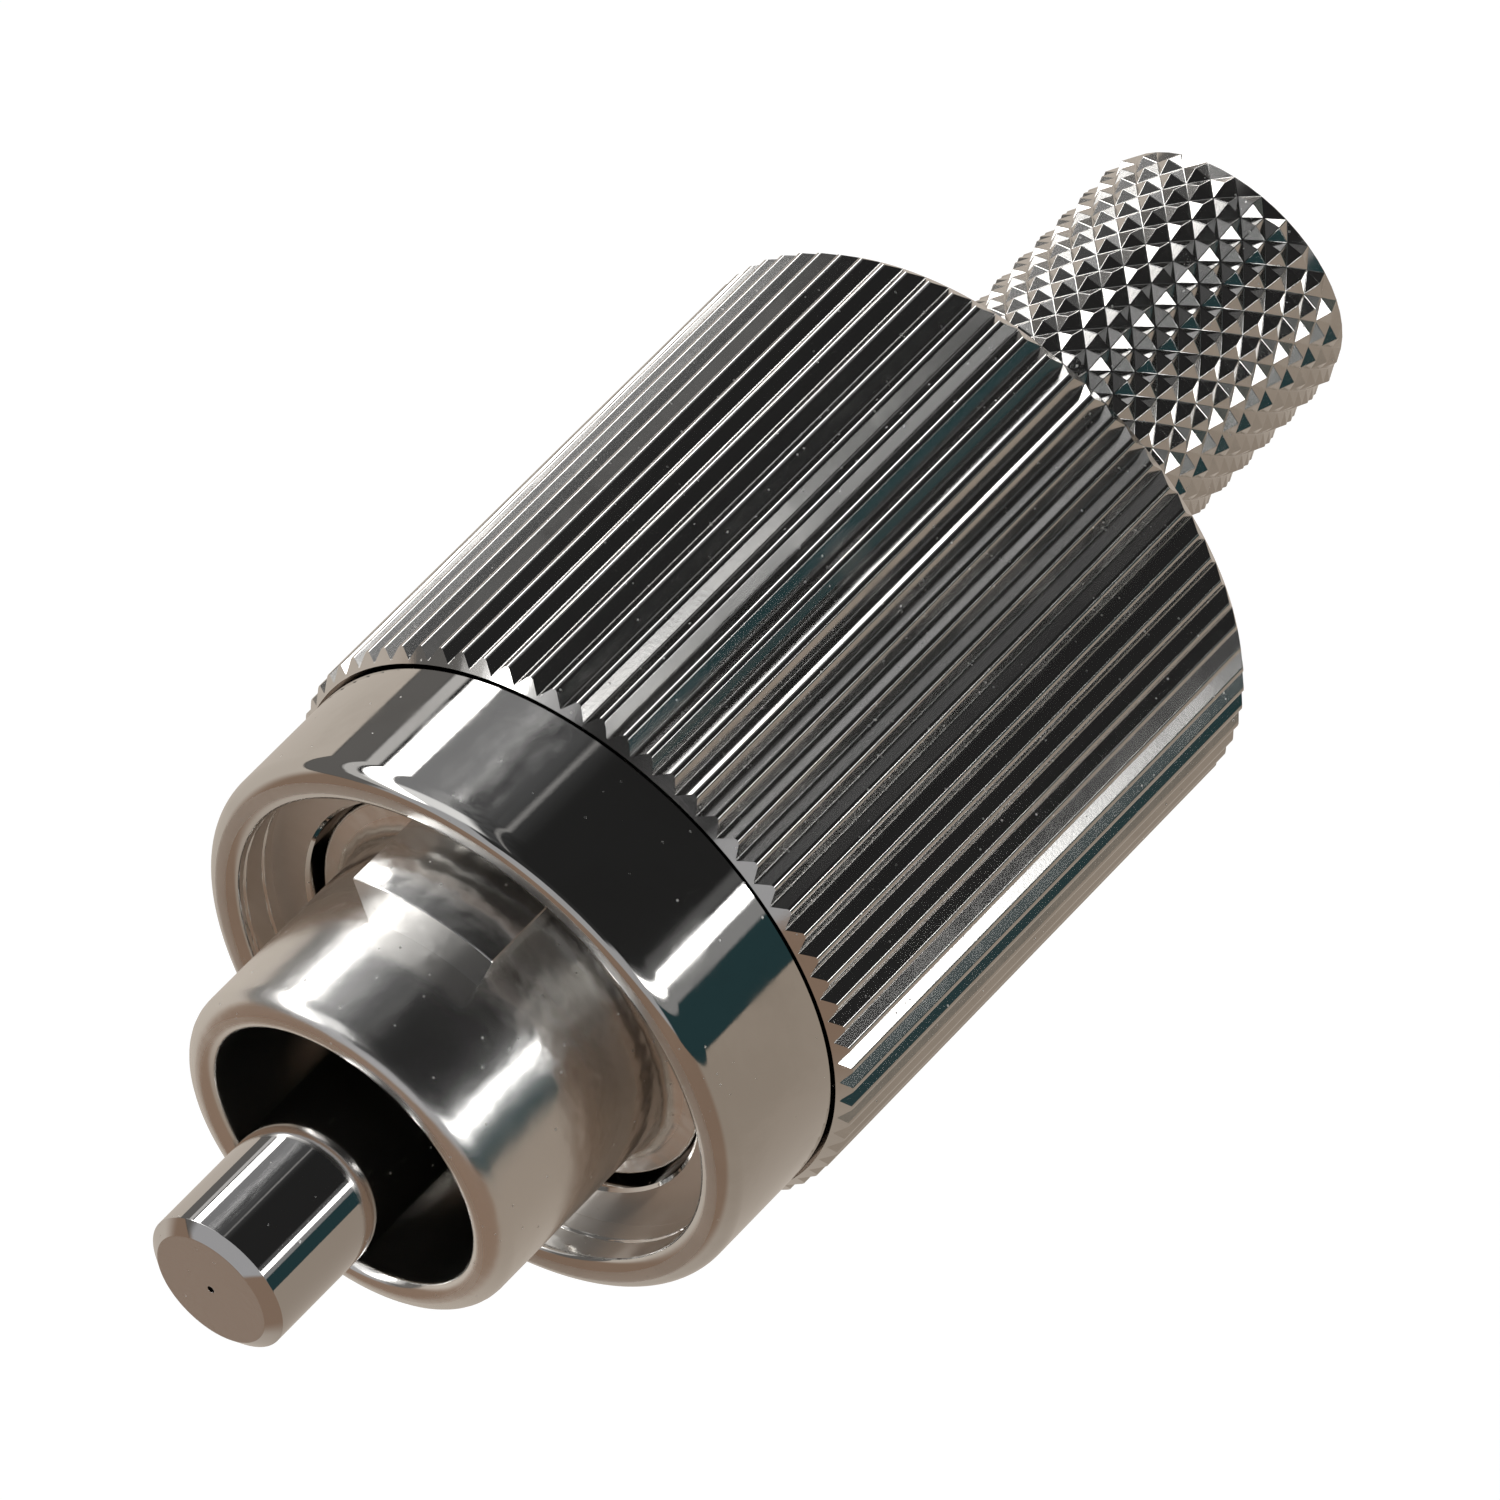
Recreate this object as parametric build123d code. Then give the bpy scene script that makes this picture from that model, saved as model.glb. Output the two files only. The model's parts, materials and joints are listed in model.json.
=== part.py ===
from build123d import *
import math
import os

os.makedirs("parts", exist_ok=True)

# Frame: the connector's axis is Y. The ferrule points along -Y and its polished end face is at Y = 0.
# The cable enters along -Y from the rear. +Z is the side of the alignment key. Millimetres throughout.
# A place along the axis is called a station. Stations grow from the ferrule's end face to the rear.

# Angles, from +X towards +Z. The key lies at a quarter turn.
quarter_turn = 90.0

# Ferrule, the standard 2.5 mm size, ground in front and stepped down where it is pressed in
ferrule_diameter = 2.5
ferrule_projection = 3.07
ferrule_press_length = 2.48
ferrule_chamfer_radial = 0.22
ferrule_chamfer_axial = 0.17
ferrule_shank_step = 0.25
ferrule_shoulder_gap = 0.1
fibre_bore_diameter = 0.126
fibre_funnel_diameter = 0.9
fibre_funnel_length = 0.8

# Ferrule holder, pressed on the ferrule's shank
holder_hub_wall = 0.6
holder_hub_overrun = 0.72
holder_flange_thickness = 1.2
holder_front_gap = 0.02
holder_tail_wall = 0.5
holder_tail_length = 3.4
holder_bore_diameter = 1.0
holder_side_clearance = 0.15

# Plastic tube that guides the buffered fibre into the ferrule
guide_tube_wall = 0.25
guide_tube_length = 4.0

# Compression spring round the hub
spring_wire_diameter = 0.4
spring_hub_clearance = 0.15
spring_length = 4.74
spring_coils = 5.5
spring_end_gap = 0.02
wire_sides = 6

# Plug frame, one turned piece with the alignment key
plug_diameter = 6.174
plug_wall = 0.622
plug_outer_round = 0.4
plug_inner_round = 0.2
plug_bore_depth = 5.23
plug_web_thickness = 0.7
plug_web_clearance = 0.2
tube_wall = 0.6
tube_thread_length = 2.0
flange_setback = 4.2
flange_step = 0.548
flange_thickness = 0.78
flange_fillet = 0.3
flange_edge_break = 0.06

# Alignment key on the plug frame, a sector with radial sides
key_setback = 2.13
key_rear_gap = 0.09
key_height = 0.843
key_half_angle = 19.8

# Two ribs in the frame that keep the holder from turning
rib_width = 0.7
rib_height = 0.35
rib_clearance = 0.05

# Retaining clip behind the coupling ring
clip_travel = 2.16
clip_thickness = 0.5
clip_width = 0.7
clip_groove_depth = 0.25
clip_gap_angle = 50.0
clip_clearance = 0.25

# Coupling ring, the smooth front of the nut
ring_mouth_depth = 0.91
ring_exposed_length = 2.55
ring_wall = 0.632
ring_round_radial = 0.15
ring_round_axial = 0.36
ring_lip_width = 0.09
ring_lip_bevel_radial = 0.1
ring_lip_bevel_axial = 0.12
shoulder_lead = 0.23
shoulder_clearance = 0.115
shoulder_chamfer = 0.05
ring_web_thickness = 0.8
ring_web_clearance = 0.05
spigot_step = 0.53
spigot_length = 4.1
spigot_chamfer = 0.25

# Knurled grip sleeve, the rear of the nut, pressed on the spigot
grip_diameter = 10.672
grip_mouth_depth = 0.5
grip_mouth_gap = 0.05
grip_lip_wall = 0.053
grip_length = 10.59
grip_front_chamfer_axial = 0.2
grip_rear_chamfer_radial = 0.36
grip_rear_chamfer_axial = 0.43
grip_rear_bore_clearance = 0.5
grip_rear_bore_chamfer = 0.2
grip_relief_length = 0.1
tooth_count = 73
tooth_depth = 0.146
tooth_crest_width = 0.11

# Thrust washer between the flange and the coupling ring's web
washer_thickness = 0.28
washer_gap = 0.03
washer_edge_clearance = 0.1

# Rear body, screwed into the plug frame, with the crimp barrel
collar_length = 1.139
tail_clearance = 0.06
tail_bore_length = 1.9
barrel_diameter = 4.84
barrel_knurl_depth = 0.12
barrel_start_count = 27
barrel_row_count = 13
barrel_pitch = 0.567
cable_bore_diameter = 3.0
cable_bore_chamfer = 0.15

# Radii worked out from the sizes above: the nut's from the grip inwards, the rest from the ferrule outwards
grip_tip_radius = grip_diameter / 2
grip_root_radius = grip_tip_radius - tooth_depth
grip_mouth_radius = grip_root_radius - grip_lip_wall
ring_radius = grip_mouth_radius - grip_mouth_gap
spigot_radius = ring_radius - spigot_step
coupling_radius = ring_radius - ring_wall
ferrule_radius = ferrule_diameter / 2
shank_radius = ferrule_radius - ferrule_shank_step
hub_radius = shank_radius + holder_hub_wall
holder_bore_radius = holder_bore_diameter / 2
tail_radius = holder_bore_radius + holder_tail_wall
spring_radius = hub_radius + spring_hub_clearance + spring_wire_diameter / 2
holder_flange_radius = spring_radius + spring_wire_diameter / 2
chamber_radius = holder_flange_radius + holder_side_clearance
tube_radius = chamber_radius + tube_wall
clip_inner_radius = tube_radius - clip_groove_depth
clip_outer_radius = clip_inner_radius + clip_width
pocket_radius = clip_outer_radius + clip_clearance
plug_radius = plug_diameter / 2
plug_bore_radius = plug_radius - plug_wall
key_top_radius = plug_radius + key_height
flange_radius = plug_radius + flange_step
shoulder_radius = flange_radius + shoulder_clearance
barrel_tip_radius = barrel_diameter / 2
barrel_root_radius = barrel_tip_radius - barrel_knurl_depth
cable_bore_radius = cable_bore_diameter / 2

# Stations worked out from the sizes above, from the front to the rear
plug_front_station = ferrule_projection
key_station = plug_front_station + key_setback
flange_station = plug_front_station + flange_setback
flange_rear_station = flange_station + flange_thickness
shoulder_station = flange_station - shoulder_lead
key_end_station = shoulder_station - key_rear_gap
ring_front_station = shoulder_station - ring_mouth_depth
plug_web_station = plug_front_station + plug_bore_depth
web_rear_station = plug_web_station + plug_web_thickness
ferrule_shoulder_station = plug_web_station - ferrule_shoulder_gap
washer_station = flange_rear_station + washer_gap
ring_web_station = washer_station + washer_thickness + washer_gap
ring_web_rear_station = ring_web_station + ring_web_thickness
holder_station = web_rear_station + holder_front_gap
hub_station = holder_station + holder_flange_thickness
ferrule_end_station = holder_station + ferrule_press_length
tail_station = ferrule_end_station + holder_hub_overrun
tail_end_station = tail_station + holder_tail_length
grip_front_station = ring_front_station + ring_exposed_length
spigot_station = grip_front_station + grip_mouth_depth
spigot_end_station = spigot_station + spigot_length
clip_station = ring_web_rear_station + clip_travel
clip_end_station = clip_station + clip_thickness
grip_rear_station = grip_front_station + grip_length
spring_station = hub_station + spring_end_gap
spring_end_station = spring_station + spring_length
spring_seat_station = spring_end_station + spring_end_gap
tail_bore_end_station = spring_seat_station + tail_bore_length
plug_rear_station = spring_seat_station + tube_thread_length
barrel_start_station = plug_rear_station + collar_length
barrel_end_station = barrel_start_station + barrel_row_count * barrel_pitch


def turned(points, rounds=None):
    """Solid of revolution about the Y axis.

    points are (radius, station) corners of the closed half section, in order. rounds maps a corner to
    the radius that rounds it in the section.
    """
    section = make_face(Polyline(*points, close=True))
    for (radius, station), size in (rounds or {}).items():
        corner = min(section.vertices(), key=lambda v: math.hypot(v.X - radius, v.Y - station))
        section = fillet(corner, size)
    return revolve(section, axis=Axis.Y)


def along_axis(section, start, end):
    """Prism of a section drawn in the X, Z plane, from one station to another."""
    plane = Plane(origin=(0, start, 0), x_dir=(1, 0, 0), z_dir=(0, 1, 0))
    return extrude(plane * section, amount=end - start)


def wedge(half_angle, reach, middle=quarter_turn):
    """Triangle with its point on the axis, opening by half_angle to each side of a direction.

    Angles are measured in the X, Z plane from +X towards +Z.
    """
    low, high = (math.radians(middle + side * half_angle) for side in (-1, 1))
    corners = [(0, 0)] + [(reach * math.cos(a), -reach * math.sin(a)) for a in (low, high)]
    return make_face(Polyline(*corners, close=True))


def tube(inner, outer, start, end):
    """Plain tube between two stations, given by its radii."""
    return turned([(inner, start), (outer, start), (outer, end), (inner, end)])


def make_ferrule():
    """Precision cylinder with a chamfered tip, a fine fibre bore, a pressed-in shank and a rear funnel."""
    bore = fibre_bore_diameter / 2
    return turned(
        [
            (bore, 0),
            (ferrule_radius - ferrule_chamfer_radial, 0),
            (ferrule_radius, ferrule_chamfer_axial),
            (ferrule_radius, ferrule_shoulder_station),
            (shank_radius, ferrule_shoulder_station),
            (shank_radius, ferrule_end_station),
            (fibre_funnel_diameter / 2, ferrule_end_station),
            (bore, ferrule_end_station - fibre_funnel_length),
        ]
    )


def make_ferrule_holder():
    """Flanged hub that grips the ferrule's shank, with a tail and two notches that stop it turning."""
    body = turned(
        [
            (shank_radius, holder_station),
            (holder_flange_radius, holder_station),
            (holder_flange_radius, hub_station),
            (hub_radius, hub_station),
            (hub_radius, tail_station),
            (tail_radius, tail_station),
            (tail_radius, tail_end_station),
            (holder_bore_radius, tail_end_station),
            (holder_bore_radius, ferrule_end_station),
            (shank_radius, ferrule_end_station),
        ]
    )
    floor = chamber_radius - rib_height - rib_clearance
    for side in (-1, 1):
        notch = Pos(side * (floor + chamber_radius) / 2, 0) * Rectangle(
            chamber_radius - floor, rib_width + 2 * rib_clearance
        )
        body -= along_axis(notch, holder_station, hub_station)
    return body


def make_guide_tube():
    """Plain tube that sits in the holder's bore, up against the ferrule."""
    inner = holder_bore_radius - guide_tube_wall
    return tube(inner, holder_bore_radius, ferrule_end_station, ferrule_end_station + guide_tube_length)


def make_spring():
    """Helical spring between the holder's flange and the rear body, both ends ground flat."""
    path = Helix(spring_length / spring_coils, spring_length, spring_radius)
    section = RegularPolygon(spring_wire_diameter / 2, wire_sides)
    coil = sweep(Plane(origin=path @ 0, z_dir=path % 0) * section, path=path, is_frenet=True)
    coil = Pos(0, spring_station, 0) * Rot(-quarter_turn, 0, 0) * coil
    reach = 2 * (spring_radius + spring_wire_diameter)
    return coil & along_axis(Rectangle(reach, reach), spring_station, spring_end_station)


def make_plug_frame():
    """Keyed front barrel, flange and threaded rear tube, turned from one bar."""
    web_bore_radius = ferrule_radius + plug_web_clearance
    front_outer = (plug_radius, plug_front_station)
    front_inner = (plug_bore_radius, plug_front_station)
    neck = (plug_radius, flange_station)
    body = turned(
        [
            front_inner,
            front_outer,
            neck,
            (flange_radius - flange_edge_break, flange_station),
            (flange_radius, flange_station + flange_edge_break),
            (flange_radius, flange_rear_station - flange_edge_break),
            (flange_radius - flange_edge_break, flange_rear_station),
            (tube_radius, flange_rear_station),
            (tube_radius, clip_station),
            (clip_inner_radius, clip_station),
            (clip_inner_radius, clip_end_station),
            (tube_radius, clip_end_station),
            (tube_radius, plug_rear_station),
            (chamber_radius, plug_rear_station),
            (chamber_radius, web_rear_station),
            (web_bore_radius, web_rear_station),
            (web_bore_radius, plug_web_station),
            (plug_bore_radius, plug_web_station),
        ],
        {front_outer: plug_outer_round, front_inner: plug_inner_round, neck: flange_fillet},
    )
    # The key is a sector of a ring with radial sides, and its top follows the barrel's curve.
    wall_middle = plug_radius - plug_wall / 2
    ring = tube(wall_middle, key_top_radius, key_station, key_end_station)
    sector = along_axis(wedge(key_half_angle, 2 * key_top_radius), key_station, key_end_station)
    body += ring & sector
    # Two ribs in the spring chamber run in the holder's notches.
    rib_foot = chamber_radius + tube_wall / 2
    rib_top = chamber_radius - rib_height
    for side in (-1, 1):
        rib = Pos(side * (rib_foot + rib_top) / 2, 0) * Rectangle(rib_foot - rib_top, rib_width)
        body += along_axis(rib, web_rear_station, hub_station)
    return body


def make_retaining_clip():
    """Open ring that snaps into the frame's groove and stops the nut sliding off."""
    ring = tube(clip_inner_radius, clip_outer_radius, clip_station, clip_end_station)
    opening = wedge(clip_gap_angle / 2, 2 * clip_outer_radius, middle=-quarter_turn)
    return ring - along_axis(opening, clip_station, clip_end_station)


def make_coupling_ring():
    """Smooth collar with the coupling bore, the shoulder in it and a spigot that carries the grip."""
    lip_outer = ring_radius - ring_round_radial
    lip_inner = lip_outer - ring_lip_width
    bevel_inner = lip_inner - ring_lip_bevel_radial
    bevel_station = ring_front_station + ring_lip_bevel_axial
    web_radius = tube_radius + ring_web_clearance
    rounding = EllipticalCenterArc(
        (lip_outer, ring_front_station + ring_round_axial),
        ring_round_radial,
        ring_round_axial,
        start_angle=3 * quarter_turn,
        arc_size=quarter_turn,
    )
    rest = Polyline(
        rounding @ 1,
        (ring_radius, spigot_station),
        (spigot_radius, spigot_station),
        (spigot_radius, spigot_end_station - spigot_chamfer),
        (spigot_radius - spigot_chamfer, spigot_end_station),
        (pocket_radius, spigot_end_station),
        (pocket_radius, ring_web_rear_station),
        (web_radius, ring_web_rear_station),
        (web_radius, ring_web_station),
        (shoulder_radius, ring_web_station),
        (shoulder_radius, shoulder_station + shoulder_chamfer),
        (shoulder_radius + shoulder_chamfer, shoulder_station),
        (coupling_radius, shoulder_station),
        (coupling_radius, bevel_station + (bevel_inner - coupling_radius)),
        (bevel_inner, bevel_station),
        (lip_inner, ring_front_station),
        rounding @ 0,
    )
    return revolve(make_face(rounding + rest), axis=Axis.Y)


def tooth_outline():
    """Closed outline of the grip: flat crests with a straight-sided V between each two."""
    half_crest = tooth_crest_width / 2 / grip_tip_radius
    pitch = 2 * math.pi / tooth_count
    corners = []
    for tooth in range(tooth_count):
        middle = tooth * pitch
        for radius, angle in (
            (grip_tip_radius, middle - half_crest),
            (grip_tip_radius, middle + half_crest),
            (grip_root_radius, middle + pitch / 2),
        ):
            corners.append((radius * math.cos(angle), radius * math.sin(angle)))
    return make_face(Polyline(*corners, close=True))


def make_grip_sleeve():
    """Straight-knurled sleeve that the fingers turn, bevelled through its teeth at both ends."""
    rear_bore_radius = tube_radius + grip_rear_bore_clearance
    relief_station = spigot_end_station + grip_relief_length
    blank = turned(
        [
            (grip_mouth_radius, grip_front_station),
            (grip_tip_radius, grip_front_station + grip_front_chamfer_axial),
            (grip_tip_radius, grip_rear_station - grip_rear_chamfer_axial),
            (grip_tip_radius - grip_rear_chamfer_radial, grip_rear_station),
            (rear_bore_radius + grip_rear_bore_chamfer, grip_rear_station),
            (rear_bore_radius, grip_rear_station - grip_rear_bore_chamfer),
            (rear_bore_radius, relief_station),
            (spigot_radius, relief_station),
            (spigot_radius, spigot_station),
            (grip_mouth_radius, spigot_station),
        ]
    )
    return along_axis(tooth_outline(), grip_front_station, grip_rear_station) & blank


def make_thrust_washer():
    """Thin flat washer that the nut turns against."""
    inner = tube_radius + ring_web_clearance
    outer = shoulder_radius - washer_edge_clearance
    return tube(inner, outer, washer_station, washer_station + washer_thickness)


def make_knurled_barrel(start, end):
    """Crimp barrel whose skin is rows of four-sided points between two crossed sets of grooves.

    Points and groove crossings alternate round the barrel and along it, like the two colours of a
    chessboard. Each point joins the four crossings next to it by four flat facets. The two ends have
    no points: there the skin lies at the grooves' depth.
    """
    columns = 2 * barrel_start_count
    rows = 2 * barrel_row_count

    def node(column, row):
        pointed = (column + row) % 2 == 0 and 0 < row < rows
        radius = barrel_tip_radius if pointed else barrel_root_radius
        angle = 2 * math.pi * (column % columns) / columns
        station = start + (end - start) * row / rows
        return (radius * math.cos(angle), station, radius * math.sin(angle))

    faces = []
    for row in range(rows + 1):
        for column in range(columns):
            if (column + row) % 2:
                continue
            point = node(column, row)
            around = [
                node(column + 1, row),
                node(column, row + 1) if row < rows else None,
                node(column - 1, row),
                node(column, row - 1) if row > 0 else None,
            ]
            for first, second in zip(around, around[1:] + around[:1]):
                if first and second:
                    faces.append(Face(Wire.make_polygon([point, first, second])))
    for row in (0, rows):
        faces.append(Face(Wire.make_polygon([node(column, row) for column in range(columns)])))
    return Solid(Shell(faces))


def make_rear_body():
    """Spring seat, collar and knurled crimp barrel in one turned piece with the cable bore through it."""
    tail_bore_radius = tail_radius + tail_clearance
    front = turned(
        [
            (tail_bore_radius, spring_seat_station),
            (chamber_radius, spring_seat_station),
            (chamber_radius, plug_rear_station),
            (tube_radius, plug_rear_station),
            (tube_radius, barrel_start_station),
            (cable_bore_radius, barrel_start_station),
            (cable_bore_radius, tail_bore_end_station),
            (tail_bore_radius, tail_bore_end_station),
        ]
    )
    bore = turned(
        [
            (0, barrel_start_station),
            (cable_bore_radius, barrel_start_station),
            (cable_bore_radius, barrel_end_station - cable_bore_chamfer),
            (cable_bore_radius + cable_bore_chamfer, barrel_end_station),
            (0, barrel_end_station),
        ]
    )
    return front + (make_knurled_barrel(barrel_start_station, barrel_end_station) - bore)


makers = {
    "ferrule": make_ferrule,
    "ferrule_holder": make_ferrule_holder,
    "guide_tube": make_guide_tube,
    "compression_spring": make_spring,
    "plug_frame": make_plug_frame,
    "retaining_clip": make_retaining_clip,
    "coupling_ring": make_coupling_ring,
    "grip_sleeve": make_grip_sleeve,
    "thrust_washer": make_thrust_washer,
    "rear_body": make_rear_body,
}

for name, make in makers.items():
    export_step(make(), f"parts/{name}.step")
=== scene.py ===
import json
import math

import bmesh
import bpy
import numpy as np
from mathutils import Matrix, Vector

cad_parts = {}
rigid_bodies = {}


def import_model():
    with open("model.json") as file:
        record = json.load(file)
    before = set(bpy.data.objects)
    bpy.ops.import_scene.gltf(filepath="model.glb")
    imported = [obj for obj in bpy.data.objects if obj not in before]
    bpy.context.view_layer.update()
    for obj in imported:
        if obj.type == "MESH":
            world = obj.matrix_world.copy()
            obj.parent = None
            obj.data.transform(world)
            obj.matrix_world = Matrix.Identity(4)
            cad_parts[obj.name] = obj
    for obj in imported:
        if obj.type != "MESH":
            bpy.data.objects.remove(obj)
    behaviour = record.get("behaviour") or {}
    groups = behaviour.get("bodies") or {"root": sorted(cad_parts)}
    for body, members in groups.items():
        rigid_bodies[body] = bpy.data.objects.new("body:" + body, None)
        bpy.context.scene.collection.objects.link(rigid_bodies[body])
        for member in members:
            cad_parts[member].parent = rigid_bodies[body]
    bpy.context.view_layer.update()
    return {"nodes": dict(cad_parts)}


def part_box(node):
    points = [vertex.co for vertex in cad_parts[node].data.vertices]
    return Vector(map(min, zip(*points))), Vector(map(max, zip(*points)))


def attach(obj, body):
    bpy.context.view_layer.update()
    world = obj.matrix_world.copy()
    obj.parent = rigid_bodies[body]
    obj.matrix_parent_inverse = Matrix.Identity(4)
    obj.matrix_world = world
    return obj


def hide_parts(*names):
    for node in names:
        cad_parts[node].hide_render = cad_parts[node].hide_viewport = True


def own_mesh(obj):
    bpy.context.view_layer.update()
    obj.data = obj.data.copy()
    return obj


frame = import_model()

bl_info = {
    "name": "Ferrule Connector",
    "version": (1, 0, 0),
    "blender": (4, 5, 0),
    "location": "View3D > Sidebar > Connector",
    "description": "Builds the visible surfaces and finishes of a fibre optic ferrule connector",
    "category": "Add Mesh",
}

MM = 0.001

# The connector's axis is Y. Angles round it run from +X towards +Z, so the key's side, +Z, is at 90 degrees.
# Sizes that aren't settings are in millimetres.

# The coupling ring's spigot, on which the grip sleeve is pressed: its radius and front end
SPIGOT_RADIUS, SPIGOT_FRONT = 4.557, 9.18

# A face looks to the front past this share of its normal along the axis.
FACED_SHARE = 0.98
# A face is a tooth's flank under these shares of its normal, outwards and along the axis.
FLANK_OUTWARD_SHARE, FLANK_AXIAL_SHARE = 0.8, 0.3

# Colour of smudged metal, and how dust changes the finish under it
DULL = (0.55, 0.53, 0.5, 1.0)
SPECK_COVER, SPECK_COLOUR, SPECK_ROUGHNESS = 0.5, (0.8, 0.79, 0.77, 1.0), 0.35
# The smooth bore's finish, and the dents' least depth as a share, each with the metres over which it fades
BORE_ROUGHNESS, BORE_FADE = 0.15, 0.0002
LEAST_DENT, DENT_FADE = 0.3, 0.0008


def low(node):
    """Lowest corner of a construction node's box, in millimetres."""
    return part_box(node)[0] / MM


def high(node):
    """Highest corner of a construction node's box, in millimetres."""
    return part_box(node)[1] / MM


def length(name, description, millimetres):
    """A length property whose default is given in millimetres."""
    return bpy.props.FloatProperty(
        name=name, description=description, default=millimetres * MM, unit="LENGTH", precision=6
    )


def colour(name, description, value):
    """A colour property."""
    return bpy.props.FloatVectorProperty(
        name=name, description=description, default=value, size=3, subtype="COLOR", min=0.0, max=4.0
    )


# ---- surfaces


def rounded(points, sizes, steps=5):
    """Closed outline with rounded corners.

    At each corner the arc is tangent to both sides: its ends lie size / tan(half the corner's angle)
    from the corner, its centre lies size / sin(half the angle) along the bisector, and its points are
    the spherical blend of the two end directions. A corner of size 0 stays sharp.
    """
    corner = np.asarray(points, float)
    size = np.broadcast_to(np.asarray(sizes, float), len(corner))[:, None]
    before = np.roll(corner, 1, axis=0) - corner
    after = np.roll(corner, -1, axis=0) - corner
    before /= np.linalg.norm(before, axis=1, keepdims=True)
    after /= np.linalg.norm(after, axis=1, keepdims=True)
    half = np.arccos(np.clip((before * after).sum(1, keepdims=True), -1, 1)) / 2
    bisector = before + after
    bisector /= np.maximum(np.linalg.norm(bisector, axis=1, keepdims=True), 1e-12)
    centre = corner + bisector * size / np.sin(half)
    first = corner + before * size / np.tan(half) - centre
    last = corner + after * size / np.tan(half) - centre
    turn = np.maximum(math.pi - 2 * half, 1e-9)[:, None, :]
    share_along = np.linspace(0, 1, steps + 1)[None, :, None]
    arc = (
        np.sin((1 - share_along) * turn) * first[:, None, :] + np.sin(share_along * turn) * last[:, None, :]
    ) / np.sin(turn)
    outline = (centre[:, None, :] + arc).reshape(-1, 2)
    keep = np.linalg.norm(outline - np.roll(outline, 1, axis=0), axis=1) > 1e-7
    return outline[keep]


def outward(section):
    """The closed section (radius, station), turned so that its outer side runs to the rear."""
    radius, station = section[:, 0], section[:, 1]
    area = (radius * np.roll(station, -1) - station * np.roll(radius, -1)).sum()
    return section if area > 0 else section[::-1]


def skin(radii, stations, angles):
    """Closed ring-shaped skin over a grid of rows along the section and columns round the axis.

    A grid point is (radius cos angle, station, radius sin angle). Rows and columns both close on
    themselves. Gives vertices in metres and the four-sided faces.
    """
    radii, stations, angles = np.broadcast_arrays(radii, stations, angles)
    points = np.stack([radii * np.cos(angles), stations, radii * np.sin(angles)], axis=-1)
    rows, columns = radii.shape
    index = np.arange(rows * columns).reshape(rows, columns)
    next_row, next_column = np.roll(index, -1, axis=0), np.roll(index, -1, axis=1)
    faces = np.stack([index, next_row, np.roll(next_row, -1, axis=1), next_column], axis=-1)
    return points.reshape(-1, 3) * MM, faces.reshape(-1, 4)


def turned(section, columns=288):
    """A closed section (radius, station) carried once round the axis."""
    section = outward(np.asarray(section, float))
    angles = np.linspace(0, 2 * math.pi, columns, endpoint=False)
    return skin(section[:, :1], section[:, 1:], angles[None, :])


def joined(*shells):
    """Several closed shells as one list of vertices and one list of faces."""
    vertices, faces, start = [], [], 0
    for shell_vertices, shell_faces in shells:
        vertices.append(np.asarray(shell_vertices))
        faces.extend((np.asarray(face) + start).tolist() for face in shell_faces)
        start += len(shell_vertices)
    return np.concatenate(vertices), faces


def drop(items, name):
    """Removes an older item of this name."""
    if name in items:
        items.remove(items[name])


def placed(name, data):
    """A new object of this data in the scene."""
    item = bpy.data.objects.new(name, data)
    bpy.context.scene.collection.objects.link(item)
    return item


def new_piece(name, shell, body, nodes, material, sharp=26.0, bevel=0.0):
    """Makes a mesh object of a shell, with crisp corners, true normals and a place in the frame."""
    vertices, faces = shell
    drop(bpy.data.objects, name)
    mesh = bpy.data.meshes.new(name)
    mesh.from_pydata(vertices.tolist(), [], faces if isinstance(faces, list) else faces.tolist())
    edit = bmesh.new()
    edit.from_mesh(mesh)
    bmesh.ops.remove_doubles(edit, verts=edit.verts, dist=1e-8)
    bmesh.ops.dissolve_degenerate(edit, edges=edit.edges, dist=1e-9)
    edit.to_mesh(mesh)
    edit.free()
    mesh.validate()
    mesh.polygons.foreach_set("use_smooth", np.ones(len(mesh.polygons), bool))
    # Two attributes tell the finish which faces look to the front and which are the flanks of teeth.
    normals = np.empty(len(mesh.polygons) * 3)
    mesh.polygons.foreach_get("normal", normals)
    normals = normals.reshape(-1, 3)
    centres = np.empty(len(mesh.polygons) * 3)
    mesh.polygons.foreach_get("center", centres)
    outwards = centres.reshape(-1, 3) * (1.0, 0.0, 1.0)
    outwards /= np.maximum(np.linalg.norm(outwards, axis=1, keepdims=True), 1e-9)
    faced = normals[:, 1] < -FACED_SHARE
    flank = np.abs((normals * outwards).sum(1)) < FLANK_OUTWARD_SHARE
    flank &= np.abs(normals[:, 1]) < FLANK_AXIAL_SHARE
    mesh.attributes.new("faced", "FLOAT", "FACE").data.foreach_set("value", faced.astype(float))
    mesh.attributes.new("flank", "FLOAT", "FACE").data.foreach_set("value", flank.astype(float))
    mesh.set_sharp_from_angle(angle=math.radians(sharp))
    mesh.materials.append(material)
    piece = placed(name, mesh)
    if bevel:
        edge_break = piece.modifiers.new("edge break", "BEVEL")
        edge_break.width, edge_break.segments, edge_break.use_clamp_overlap = bevel, 2, True
        edge_break.limit_method, edge_break.angle_limit = "ANGLE", math.radians(sharp)
    normals = piece.modifiers.new("true normals", "WEIGHTED_NORMAL")
    normals.keep_sharp = True
    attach(piece, body)
    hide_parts(*nodes)
    return piece


# ---- finishes


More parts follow.
